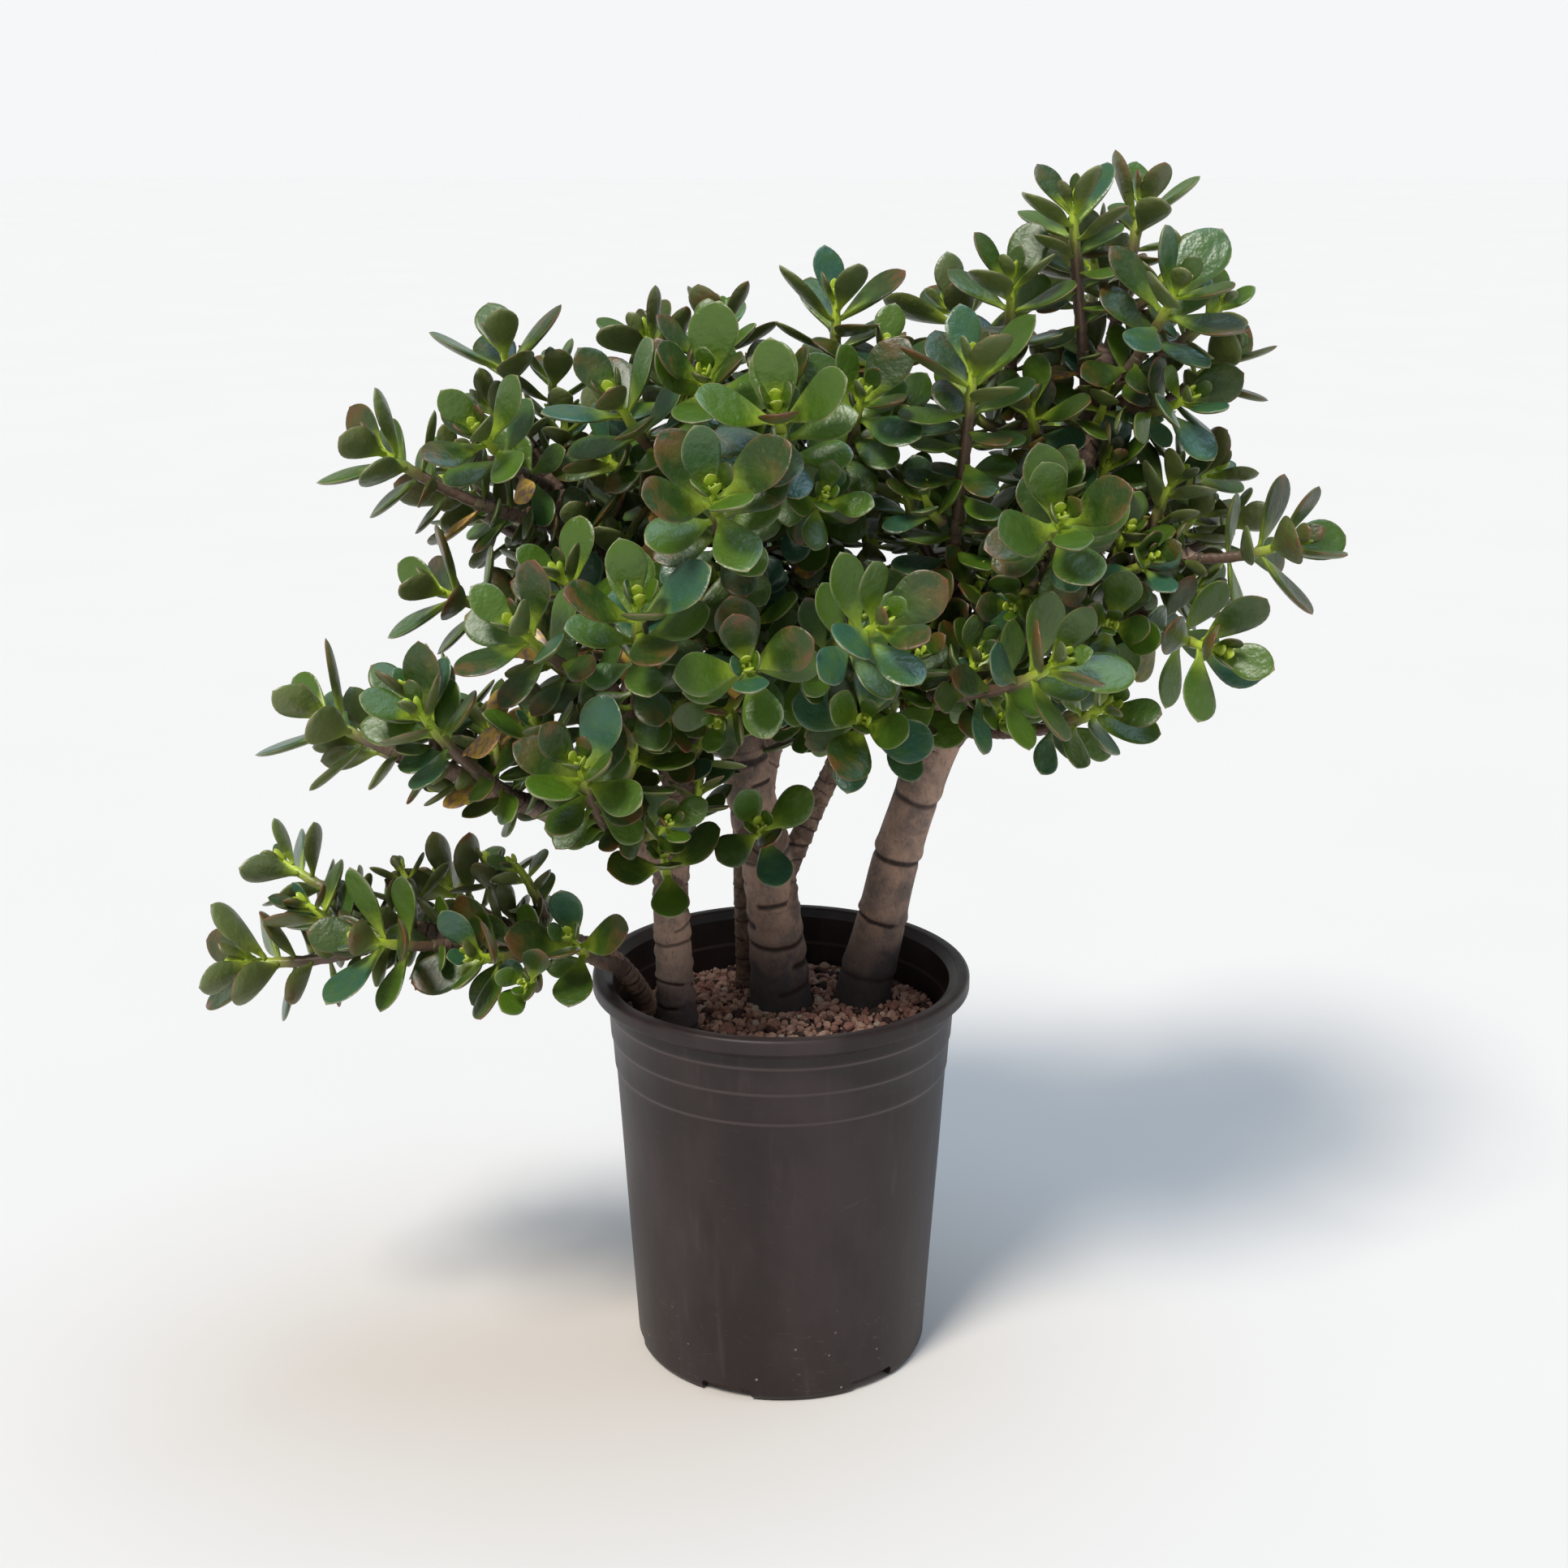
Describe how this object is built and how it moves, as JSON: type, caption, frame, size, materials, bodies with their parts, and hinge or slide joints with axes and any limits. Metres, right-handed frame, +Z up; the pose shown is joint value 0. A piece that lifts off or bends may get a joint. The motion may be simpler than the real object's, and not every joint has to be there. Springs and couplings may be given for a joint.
{
  "type": "potted jade plant",
  "caption": "Branched jade plant with thick woody stems and opposite fleshy green leaves, standing in a tapered charcoal nursery pot of grit.",
  "frame": {"origin": "centre of the pot's flat underside, on the surface it stands on", "axes": "+Z up; -Y is the front of the plant; +X is to the right, towards the tallest branches"},
  "size_m": [0.7788, 0.4749, 0.8587],
  "materials": {
    "pot_plastic": "moulded charcoal plastic, lightly scuffed",
    "grit_mix": "loose gritty mineral mix, pinkish brown",
    "bark": "pinkish-grey ringed bark",
    "leaf": "smooth waxy green flesh with reddish margins"
  },
  "bodies": {
    "root": {"pot": "pot_plastic", "potting_mix": "grit_mix", "shoot_back_left": "leaf", "shoot_back_right": "leaf", "shoot_back_top": "leaf", "shoot_centre_face": "leaf", "shoot_centre_high": "leaf", "shoot_centre_left": "leaf", "shoot_centre_low": "leaf", "shoot_centre_low_right": "leaf", "shoot_centre_near": "leaf", "shoot_centre_rear": "leaf", "shoot_centre_right": "leaf", "shoot_centre_side_face": "leaf", "shoot_centre_side_inner": "leaf", "shoot_centre_sprout": "leaf", "shoot_centre_top": "leaf", "shoot_centre_top_left": "leaf", "shoot_left_far": "leaf", "shoot_left_front_face": "leaf", "shoot_left_front_tall": "leaf", "shoot_left_high": "leaf", "shoot_left_inner": "leaf", "shoot_left_low_face": "leaf", "shoot_left_middle": "leaf", "shoot_left_outer_rear": "leaf", "shoot_left_reach": "leaf", "shoot_left_reach_face": "leaf", "shoot_left_rear_end": "leaf", "shoot_left_rear_high": "leaf", "shoot_left_sprout": "leaf", "shoot_left_top": "leaf", "shoot_low_left_end": "leaf", "shoot_low_left_face": "leaf", "shoot_low_left_inner": "leaf", "shoot_low_left_mid": "leaf", "shoot_low_left_rear": "leaf", "shoot_low_left_upper": "leaf", "shoot_right_front_face": "leaf", "shoot_right_front_side": "leaf", "shoot_right_high_side": "leaf", "shoot_right_inner_face": "leaf", "shoot_right_inner_rear": "leaf", "shoot_right_inner_top": "leaf", "shoot_right_near": "leaf", "shoot_right_rear_end": "leaf", "shoot_right_rear_inner": "leaf", "shoot_right_side_end": "leaf", "shoot_right_side_face": "leaf", "shoot_right_side_rear": "leaf", "shoot_right_side_up": "leaf", "shoot_right_top": "leaf", "shoot_right_top_face": "leaf", "shoot_right_top_left": "leaf", "shoot_right_top_rear": "leaf", "stem_back": "bark", "stem_centre": "bark", "stem_left": "bark", "stem_low_left": "bark", "stem_right": "bark"}
  },
  "joints": []
}
